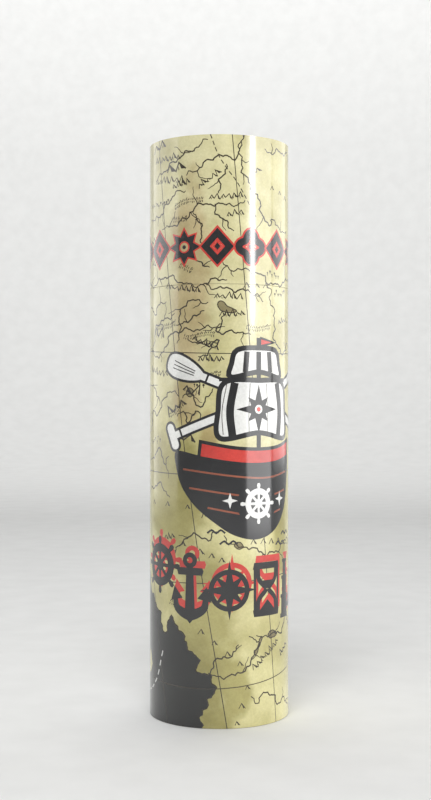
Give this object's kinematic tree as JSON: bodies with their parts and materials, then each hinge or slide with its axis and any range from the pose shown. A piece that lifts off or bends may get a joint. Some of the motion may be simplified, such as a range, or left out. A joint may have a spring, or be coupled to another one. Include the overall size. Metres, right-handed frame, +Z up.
{
  "type": "kaleidoscope",
  "caption": "Paper tube kaleidoscope with a rotating end, loose coloured pieces behind a frosted window, a mirror triangle and a dished eyepiece.",
  "frame": {"origin": "centre of the bottom rim, at the eye end, where the tube stands", "axes": "+Z up along the tube's axis, from the eye end to the rotating object end; -Y is the front of the printed wrap"},
  "size_m": [0.042, 0.042, 0.171],
  "materials": {
    "paperboard": "raw grey-brown wound paperboard",
    "printed_wrap": "gloss",
    "black_plastic": "fine satin moulded",
    "black_card": "matt black card",
    "mirror": "mirror",
    "clear_plastic": "clear polished",
    "frosted_plastic": "frosted",
    "foam": "soft open-cell foam",
    "red_gem": "transparent coloured",
    "blue_gem": "transparent coloured",
    "green_gem": "transparent coloured",
    "yellow_gem": "transparent coloured",
    "clear_gem": "transparent"
  },
  "bodies": {
    "main_body": {"main_tube": "paperboard", "main_wrap": "printed_wrap", "eye_cap": "black_plastic", "eye_lens": "clear_plastic", "lens_ring": "black_card", "mirror_strip_1": "mirror", "mirror_strip_2": "mirror", "mirror_strip_3": "mirror", "mirror_card": "black_card", "centring_ring": "paperboard", "foam_pads": "foam", "neck_tube": "paperboard", "neck_bearing_layer": "paperboard", "neck_ring": "black_plastic"},
    "rotating_end": {"sleeve_tube": "paperboard", "sleeve_wrap": "printed_wrap", "sleeve_stop_ring": "paperboard", "chamber_seat_ring": "paperboard", "chamber_inner_disc": "clear_plastic", "chamber_spacer_ring": "paperboard", "frosted_window": "frosted_plastic", "window_ring": "black_plastic"},
    "loose_pieces": {"red_stones": "red_gem", "blue_triangles": "blue_gem", "green_rods": "green_gem", "yellow_beads": "yellow_gem", "clear_chips": "clear_gem"}
  },
  "joints": [
    {"name": "sleeve_spin", "type": "hinge", "parent": "main_body", "child": "rotating_end", "pos_m": [0, 0, 0.15], "axis": [0, 0, 1], "continuous": true},
    {"name": "pieces_tumble", "type": "hinge", "parent": "rotating_end", "child": "loose_pieces", "pos_m": [0, 0, 0.161], "axis": [0, 0, 1], "continuous": true}
  ]
}
